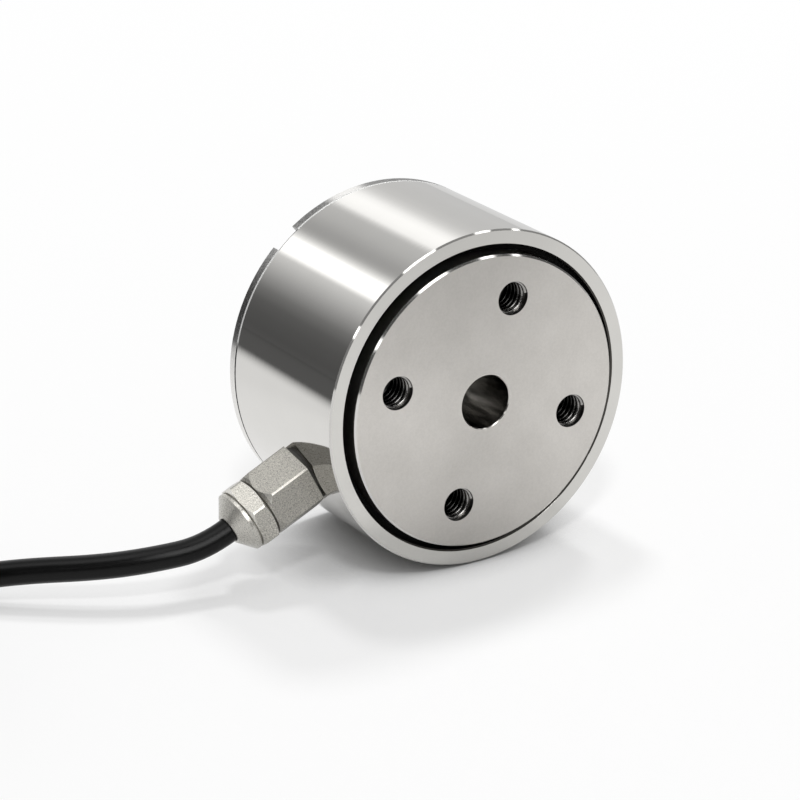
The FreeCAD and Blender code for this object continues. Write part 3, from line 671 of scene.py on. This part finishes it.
def gland_place(tree):
    """Distances along the gland from the load axis, below its own axis, and outside its flats' circle."""
    across, aside, height = cell_place(tree)
    along, lower = turned(tree, across, height, GLAND_ANGLE)
    radius = hypotenuse(tree, lower, difference(tree, aside, GLAND_PLACE))
    return along, lower, difference(tree, radius, HEX_FLAT)


def hex_chamfer(tree, place, end, way, slope, edge):
    """The upper chamfered corners at one end of a hexagon, from a given distance to its end face."""
    along, lower, outside = place
    inward = product(tree, difference(tree, end, along), way)
    past_cone = difference(tree, product(tree, outside, slope), inward)
    upper = product(tree, above(tree, past_cone, -ZONE_MARGIN), below(tree, lower, 0.0))
    return product(tree, upper, above(tree, inward, edge))


def plated_gland():
    """Tumbled nickel: greyish hexagon; the nut and its taper are painted paler and the upper chamfers
    brighter still, as painted light.
    """
    material, tree, shader = new_material("satin_nickel_gland")
    shader.inputs["Metallic"].default_value = GLAND_METAL
    grains = place_group(tree, grain, size=GLAND_GRAIN)[0]
    specks = map_range(tree, grains, GLAND_SPECKS, RISING)
    place = gland_place(tree)
    on_nut = above(tree, place[0], NUT_START - ZONE_MARGIN)
    on_cone = above(tree, place[0], NUT_END + ZONE_MARGIN)
    tone = mixed(tree, on_nut, mixed(tree, specks, *HEX_TONE), mixed(tree, specks, *NUT_PAINTED_LIGHT_TONE))
    tone = mixed(tree, on_cone, tone, mixed(tree, specks, *CONE_PAINTED_LIGHT_TONE))
    # Upper chamfers only: painted highlight.
    chamfer = hex_chamfer(tree, place, HEX_END, 1, HEX_SLOPE, HEX_CHAMFER_EDGE)
    tone = mixed(tree, chamfer, tone, HEX_CHAMFER_PAINTED_LIGHT)
    for end, way in ((NUT_START, -1), (NUT_END, 1)):
        chamfer = hex_chamfer(tree, place, end, way, NUT_SLOPE, NUT_CHAMFER_EDGE)
        tone = mixed(tree, chamfer, tone, NUT_CHAMFER_PAINTED_LIGHT)
    tree.links.new(tone, shader.inputs["Base Color"])
    tree.links.new(map_range(tree, grains, ROUGH_SPAN, GLAND_ROUGHNESS), shader.inputs["Roughness"])
    bump(tree, shader, grains, *GLAND_RELIEF)
    return material


# Wire, rubber, plastic and film

TINNED_ROUGHNESS = (0.22, 0.4)
SKIN_PATCH = 5 * MM
SKIN_RELIEF = 0.5


def tinned_metal(name, dark, light, grain_size):
    material, tree, shader = new_material(name)
    shader.inputs["Metallic"].default_value = 1.0
    grains = place_group(tree, grain, size=grain_size)[0]
    tree.links.new(mixed(tree, grains, dark, light), shader.inputs["Base Color"])
    tree.links.new(map_range(tree, grains, ROUGH_SPAN, TINNED_ROUGHNESS), shader.inputs["Roughness"])
    return material


def skin(name, dark, light, roughness, grain_size, grain_depth, gloss=0.5):
    """A moulded or extruded skin: slight tone and gloss changes with a fine grain."""
    material, tree, shader = new_material(name)
    shader.inputs["Specular IOR Level"].default_value = gloss
    grains = place_group(tree, grain, size=grain_size)[0]
    patches = place_group(tree, mottle, size=SKIN_PATCH)[0]
    tree.links.new(mixed(tree, patches, dark, light), shader.inputs["Base Color"])
    tree.links.new(map_range(tree, grains, ROUGH_SPAN, roughness), shader.inputs["Roughness"])
    bump(tree, shader, grains, grain_depth, SKIN_RELIEF)
    return material


def insulation(colour, dark, light):
    name = colour + "_insulation"
    return skin(name, dark, light, roughness=(0.3, 0.42), grain_size=0.2 * MM, grain_depth=0.004 * MM)


def make_finishes():
    return {
        "sleeve": polished_sleeve(),
        "body": satin_body(),
        "thread": cut_thread(),
        "gland": plated_gland(),
        "solder": tinned_metal("solder_metal", (0.55, 0.55, 0.56), (0.75, 0.75, 0.76), 0.3 * MM),
        "tinned": tinned_metal("tinned_copper", (0.6, 0.57, 0.52), (0.78, 0.75, 0.70), 0.15 * MM),
        "rubber": skin(
            "seal_rubber", (0.002, 0.002, 0.002), (0.005, 0.005, 0.005),
            roughness=(0.6, 0.8), grain_size=0.2 * MM, grain_depth=0.02 * MM, gloss=0.15,
        ),
        "jacket": skin(
            "cable_jacket", (0.003, 0.003, 0.003), (0.006, 0.006, 0.006),
            roughness=(0.26, 0.36), grain_size=0.15 * MM, grain_depth=0.006 * MM, gloss=0.18,
        ),
        "fibre": skin(
            "seal_fibre", (0.06, 0.058, 0.053), (0.10, 0.096, 0.088),
            roughness=(0.55, 0.7), grain_size=0.3 * MM, grain_depth=0.01 * MM,
        ),
        "nylon": skin(
            "tie_nylon", (0.015, 0.015, 0.016), (0.03, 0.03, 0.03),
            roughness=(0.35, 0.5), grain_size=0.3 * MM, grain_depth=0.01 * MM,
        ),
        "film": skin(
            "gauge_film", (0.5, 0.26, 0.06), (0.66, 0.38, 0.12),
            roughness=(0.25, 0.4), grain_size=0.4 * MM, grain_depth=0.004 * MM,
        ),
        "board": skin(
            "board_laminate", (0.02, 0.15, 0.05), (0.05, 0.24, 0.09),
            roughness=(0.3, 0.45), grain_size=0.3 * MM, grain_depth=0.006 * MM,
        ),
        "resistor": skin(
            "resistor_glaze", (0.015, 0.015, 0.018), (0.04, 0.04, 0.045),
            roughness=(0.2, 0.35), grain_size=0.2 * MM, grain_depth=0.004 * MM,
        ),
        "red": insulation("red", (0.42, 0.02, 0.02), (0.55, 0.035, 0.03)),
        "black": insulation("black", (0.012, 0.012, 0.012), (0.025, 0.025, 0.025)),
        "green": insulation("green", (0.02, 0.25, 0.05), (0.035, 0.35, 0.08)),
        "white": insulation("white", (0.70, 0.70, 0.67), (0.80, 0.80, 0.77)),
    }


NODE_FINISHES = {
    "elastic_body": "body",
    "housing_sleeve": "sleeve",
    "gap_seal": "rubber",
    "gland_body": "gland",
    "gland_nut": "gland",
    "gland_bush": "rubber",
    "gland_seal": "fibre",
    "jacket_in_gland": "jacket",
    "cable_tie_1": "nylon",
    "cable_tie_2": "nylon",
    "terminal_board": "board",
    "solder_joints": "solder",
    "trim_resistors": "resistor",
    "gauge_wires": "tinned",
    "lead_tips": "tinned",
    "drain_wire": "tinned",
}
for gauge in range(1, GAUGE_COUNT + 1):
    NODE_FINISHES[f"strain_gauge_{gauge}"] = "film"
for core in CORE_COLOURS:
    NODE_FINISHES["core_" + core] = core
    NODE_FINISHES["lead_" + core] = core


def dress_nodes():
    for name, finish in NODE_FINISHES.items():
        mesh = nodes[name].data
        mesh.materials.clear()
        mesh.materials.append(finishes[finish])


finishes = make_finishes()
dress_nodes()
cable_run.data.materials.append(finishes["jacket"])


# Threads in the tapped holes

THREAD_PITCH = 1.0 * MM
THREAD_HEIGHT = 0.40 * MM
THREAD_ROOT = 0.86 * MM
THREAD_CREST = 0.12 * MM
THREAD_SINK = 0.03 * MM
THREAD_SEGMENTS = 40
THREAD_LEAD = 0.48 * MM
THREAD_TURN = math.radians(-155)
QUARTER_TURN = math.pi / 2
THREAD_SIZES = {
    "Hole Radius": TAPPED_RADIUS + THREAD_SINK,
    "Depth": TAPPED_DEPTH,
    "Pitch": THREAD_PITCH,
    "Ridge Height": THREAD_HEIGHT + THREAD_SINK,
    "Root Width": THREAD_ROOT,
    "Crest Width": THREAD_CREST,
    "Circle Radius": BOLT_CIRCLE / 2,
    "Circle Turn": BOLT_ANGLE,
    "Ridge Turn": THREAD_TURN,
    "Start": 0.0,
}


def turned_shape(tree, shape, angle):
    """A shape turned about its own Z axis."""
    turn = add_node(tree, "ShaderNodeCombineXYZ", {"Z": angle})
    inputs = {"Geometry": shape, "Rotation": turn.outputs[0]}
    return add_node(tree, "GeometryNodeTransform", inputs).outputs["Geometry"]


def ridge_outline(tree, sizes):
    """The ridge's cross section, its root on the wall of the hole and its crest towards the middle."""
    outline = add_node(tree, "GeometryNodeCurvePrimitiveQuadrilateral", {
        "Height": sizes["Ridge Height"],
        "Bottom Width": sizes["Root Width"],
        "Top Width": sizes["Crest Width"],
        "Offset": 0.0,
    }, mode="TRAPEZOID")
    shift = add_node(tree, "ShaderNodeCombineXYZ", {"X": product(tree, sizes["Ridge Height"], 0.5)})
    inward = add_node(tree, "GeometryNodeTransform", {
        "Geometry": outline.outputs["Curve"],
        "Translation": shift.outputs[0],
        "Rotation": (0, 0, -QUARTER_TURN),
    })
    return inward.outputs["Geometry"]


def helical_ridge(tree, sizes):
    """One ridge wound along +Z round the axis of its hole."""
    length = difference(tree, sizes["Depth"], sizes["Pitch"])
    spiral = add_node(tree, "GeometryNodeCurveSpiral", {
        "Resolution": THREAD_SEGMENTS,
        "Rotations": math_node(tree, "DIVIDE", length, sizes["Pitch"]),
        "Start Radius": sizes["Hole Radius"],
        "End Radius": sizes["Hole Radius"],
        "Height": length,
    })
    line = {"Curve": spiral.outputs["Curve"]}
    upright = add_node(tree, "GeometryNodeSetCurveNormal", line, mode="Z_UP")
    ridge = add_node(tree, "GeometryNodeCurveToMesh", {
        "Curve": upright.outputs["Curve"],
        "Profile Curve": ridge_outline(tree, sizes),
        "Fill Caps": True,
    })
    return turned_shape(tree, ridge.outputs["Mesh"], sizes["Ridge Turn"])


def thread_tree():
    """Geometry nodes: a helical ridge in every hole of a bolt circle round the load axis."""
    tree = bpy.data.node_groups.new("tapped_threads", "GeometryNodeTree")
    new_socket = tree.interface.new_socket
    new_socket("Geometry", in_out="OUTPUT", socket_type="NodeSocketGeometry")
    for label, size in THREAD_SIZES.items():
        new_socket(label, in_out="INPUT", socket_type="NodeSocketFloat").default_value = size
    new_socket("Holes", in_out="INPUT", socket_type="NodeSocketInt").default_value = BOLT_COUNT
    new_socket("Finish", in_out="INPUT", socket_type="NodeSocketMaterial")
    sizes = tree.nodes.new("NodeGroupInput").outputs
    leave = tree.nodes.new("NodeGroupOutput").inputs

    circle = add_node(tree, "GeometryNodeMeshCircle", {
        "Vertices": sizes["Holes"],
        "Radius": sizes["Circle Radius"],
    })
    copies = add_node(tree, "GeometryNodeInstanceOnPoints", {
        "Points": circle.outputs["Mesh"],
        "Instance": helical_ridge(tree, sizes),
    })
    place = add_node(tree, "ShaderNodeCombineXYZ", {"Y": sizes["Start"], "Z": BODY_RADIUS})
    stand = add_node(tree, "GeometryNodeTransform", {
        "Geometry": turned_shape(tree, copies.outputs["Instances"], sizes["Circle Turn"]),
        "Translation": place.outputs[0],
        "Rotation": (QUARTER_TURN, 0, 0),
    })
    solid = add_node(tree, "GeometryNodeRealizeInstances", {"Geometry": stand.outputs["Geometry"]})
    dressed = add_node(tree, "GeometryNodeSetMaterial", {
        "Geometry": solid.outputs["Geometry"],
        "Material": sizes["Finish"],
    })
    tree.links.new(dressed.outputs["Geometry"], leave["Geometry"])
    return tree


def make_threads(tree, name, start):
    """The ridges of one bolt circle, from a given place towards -Y, as a plain mesh."""
    mesh = bpy.data.meshes.new(name + "_seed")
    maker = bpy.data.objects.new(name + "_seed", mesh)
    bpy.context.scene.collection.objects.link(maker)
    modifier = maker.modifiers.new("threads", "NODES")
    modifier.node_group = tree
    values = {"Start": start, "Finish": finishes["thread"]}
    for socket in tree.interface.items_tree:
        if socket.in_out == "INPUT" and socket.name in values:
            modifier[socket.identifier] = values[socket.name]
    ready = maker.evaluated_get(bpy.context.evaluated_depsgraph_get())
    ridges = bpy.data.objects.new(name, bpy.data.meshes.new_from_object(ready))
    ridges.data.name = name
    bpy.data.objects.remove(maker)
    bpy.data.meshes.remove(mesh)
    bpy.context.scene.collection.objects.link(ridges)
    return ridges


threads = thread_tree()
thread_pieces = [
    make_threads(threads, "load_face_threads", LOAD_FACE + TAPPED_DEPTH - THREAD_LEAD),
    make_threads(threads, "base_face_threads", BASE_FACE - THREAD_LEAD),
]


# Room and lamps

# Long lights behind the cell: degrees round the load axis from +X towards +Z, and brightness there.
STRIP_TURNS = [
    (-90, 0.8), (-34, 0.73), (-24, 0.76), (-14, 0.69), (-6, 0.635), (3, 0.655), (10, 0.68), (20, 0.69),
    (30, 0.71), (38, 0.76), (44, 0.88), (48, 1.05), (52, 1.27), (57, 1.40), (63, 1.38), (68, 1.30),
    (71, 0.90), (74, 0.68), (84, 0.61), (94, 0.485), (98, 0.47), (101, 0.53), (103, 0.65), (106, 0.98),
    (108, 1.30), (110, 1.75), (120, 1.80), (122, 1.45), (124.5, 0.84), (132, 0.65), (142, 0.40),
    (150, 0.222), (158, 0.135), (166, 0.11), (176, 0.097), (184, 0.112), (192, 0.155), (200, 0.24),
]
STRIP_TOP = 2.0
FULL_TURN = 360.0

# Small lamps in front: direction, half angle in degrees and brightness.
PANES = [
    ((0.54, -0.35, 0.766), 3.6, 3.0),
    ((0.76, -0.21, 0.61), 1.6, 3.0),
    ((-0.65, -0.62, 0.44), 2.5, 3.0),
    ((0.08, -0.51, 0.857), 3.0, 3.0),
    ((-0.02, -0.533, 0.846), 3.0, 3.0),
    ((-0.12, -0.555, 0.823), 3.0, 3.0),
    ((0.03, -0.77, 0.63), 16.0, 5.0),
    ((-0.135, -0.02, 0.99), 18.0, 2.1),
]
PANE_SOFTNESS = 1.5
FRONT_LEVEL = 0.112
FRONT_EDGE = (0.05, 0.35)
ROOM_LEVEL = 0.34
WHITE = 1.0

# Lamps: place, width and power.
LAMPS = {
    "front_lamp": ((-0.98, -1.59, 2.34), 0.40, 24.0),
    "back_left_softbox": ((0.28, 1.11, 2.77), 0.50, 25.0),
    "back_right_softbox": ((1.36, 1.04, 2.47), 0.50, 27.0),
}
LAMP_TARGET = (0, 0, 0.02)


def strip_lights(tree, split):
    """Brightness of the long lights behind, by the angle round the load axis."""
    first_angle, first_level = STRIP_TURNS[0]
    turn = math_node(tree, "ARCTAN2", split["Z"], split["X"])
    whole_turns = math_node(tree, "DIVIDE", turn, 2 * math.pi)
    share = math_node(tree, "FRACT", total(tree, whole_turns, -first_angle / FULL_TURN))
    ramp = tree.nodes.new("ShaderNodeFloatCurve")
    points = ramp.mapping.curves[0].points
    points[0].location = (0.0, first_level / STRIP_TOP)
    points[1].location = (1.0, first_level / STRIP_TOP)
    for angle, level in STRIP_TURNS[1:]:
        points.new((angle - first_angle) / FULL_TURN, level / STRIP_TOP)
    for point in points:
        point.handle_type = "VECTOR"
    ramp.mapping.update()
    tree.links.new(share, ramp.inputs["Value"])
    return product(tree, ramp.outputs["Value"], STRIP_TOP)


def lamp_panes(tree, way):
    """Small bright lamps in the dark half of the room in front, which edges and corners mirror."""
    level = FRONT_LEVEL
    for direction, half_angle, strength in PANES:
        inputs = {0: way, 1: Vector(direction).normalized()}
        facing = add_node(tree, "ShaderNodeVectorMath", inputs, operation="DOT_PRODUCT")
        edge = math.cos(math.radians(half_angle + PANE_SOFTNESS))
        core = math.cos(math.radians(half_angle))
        pane = map_range(tree, facing.outputs["Value"], (edge, core), (0.0, strength), smoothly=True)
        level = total(tree, pane, level)
    return level


def make_studio():
    """A plain white room for the eye and for soft light, with lamps that only polished metal shows."""
    world = bpy.data.worlds.new("studio")
    bpy.context.scene.world = world
    world.use_nodes = True
    tree = world.node_tree
    tree.nodes.clear()
    way = add_node(tree, "ShaderNodeTexCoord").outputs["Generated"]
    split = add_node(tree, "ShaderNodeSeparateXYZ", {0: way}).outputs
    behind = map_range(tree, split["Y"], FRONT_EDGE, RISING, smoothly=True)
    back_half = product(tree, behind, strip_lights(tree, split))
    front_half = product(tree, difference(tree, 1.0, behind), lamp_panes(tree, way))
    ray = tree.nodes.new("ShaderNodeLightPath").outputs
    seen = product(tree, ray["Is Camera Ray"], WHITE)
    mirrored = product(tree, ray["Is Glossy Ray"], total(tree, back_half, front_half))
    soft = product(tree, ray["Is Diffuse Ray"], ROOM_LEVEL)
    level = total(tree, total(tree, seen, mirrored), soft)
    inputs = {"Color": (WHITE, WHITE, WHITE, 1.0), "Strength": level}
    shine = add_node(tree, "ShaderNodeBackground", inputs)
    add_node(tree, "ShaderNodeOutputWorld", {"Surface": shine.outputs[0]})


def add_lamp(name, place, width, power):
    data = bpy.data.lights.new(name, "AREA")
    data.shape = "DISK"
    data.size = width
    data.energy = power
    lamp = bpy.data.objects.new(name, data)
    lamp.location = place
    aim = Vector(LAMP_TARGET) - Vector(place)
    lamp.rotation_euler = aim.to_track_quat("-Z", "Y").to_euler()
    lamp.visible_glossy = False
    bpy.context.scene.collection.objects.link(lamp)


# Floor

FLOOR_HALF = 3.0
FLOOR_DROP = -0.3 * MM
FLOOR_COLOUR = (0.45, 0.45, 0.45)
FLOOR_GLOW = 0.508
CONTACT_REACH = 14 * MM
CONTACT_SPAN = (0.22, 0.61)
CONTACT_SAMPLES = 6
SWEEP_LEFT = (-0.171, -0.101)
SWEEP_LEFT_DIM = (0.885, 0.06)
SWEEP_RIGHT = (0.0, 0.1)
SWEEP_RIGHT_DIM = (0.06, 0.25)
SWEEP_BEHIND = (0.05, 0.09)


def mirrored_sweep(tree):
    """How bright polished metal mirrors the floor: dimmer behind, most of all to the left."""
    split = add_node(tree, "ShaderNodeSeparateXYZ", {0: object_place(tree)}).outputs
    left = map_range(tree, split["X"], SWEEP_LEFT, SWEEP_LEFT_DIM, smoothly=True)
    right = map_range(tree, split["X"], SWEEP_RIGHT, SWEEP_RIGHT_DIM, smoothly=True)
    behind = map_range(tree, split["Y"], SWEEP_BEHIND, RISING, smoothly=True)
    return difference(tree, 1.0, product(tree, larger(tree, left, right), behind))


def white_sweep():
    """Matt white that glows a little to the eye, but less close round what stands on it."""
    material = bpy.data.materials.new("white_sweep")
    material.use_nodes = True
    tree = material.node_tree
    tree.nodes.clear()
    ray = tree.nodes.new("ShaderNodeLightPath").outputs
    mirrored = product(tree, ray["Is Glossy Ray"], mirrored_sweep(tree))
    kept = total(tree, difference(tree, 1.0, ray["Is Glossy Ray"]), mirrored)
    tone = add_node(tree, "ShaderNodeVectorMath", {0: FLOOR_COLOUR, "Scale": kept}, operation="SCALE")
    paint = add_node(tree, "ShaderNodeBsdfDiffuse", {"Color": tone.outputs[0]})
    inputs = {"Distance": CONTACT_REACH}
    contact = add_node(tree, "ShaderNodeAmbientOcclusion", inputs, samples=CONTACT_SAMPLES)
    fill = map_range(tree, contact.outputs["AO"], CONTACT_SPAN, (0.0, FLOOR_GLOW))
    seen = larger(tree, ray["Is Camera Ray"], mirrored)
    glow = add_node(tree, "ShaderNodeEmission", {"Strength": product(tree, seen, fill)})
    both = add_node(tree, "ShaderNodeAddShader", {0: paint.outputs[0], 1: glow.outputs[0]})
    add_node(tree, "ShaderNodeOutputMaterial", {"Surface": both.outputs[0]})
    return material


def make_floor():
    mesh = bpy.data.meshes.new("floor")
    ways = ((-1, -1), (1, -1), (1, 1), (-1, 1))
    corners = [(across * FLOOR_HALF, along * FLOOR_HALF, FLOOR_DROP) for across, along in ways]
    mesh.from_pydata(corners, [], [(0, 1, 2, 3)])
    mesh.materials.append(white_sweep())
    floor = bpy.data.objects.new("floor", mesh)
    bpy.context.scene.collection.objects.link(floor)


make_studio()
make_floor()
for lamp_name, (lamp_place, lamp_width, lamp_power) in LAMPS.items():
    add_lamp(lamp_name, lamp_place, lamp_width, lamp_power)
bpy.context.scene.view_settings.view_transform = "Standard"


# What rides where

for piece in thread_pieces:
    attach(piece, "root")
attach(cable_run, "root")
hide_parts("cable", "cable_hank")
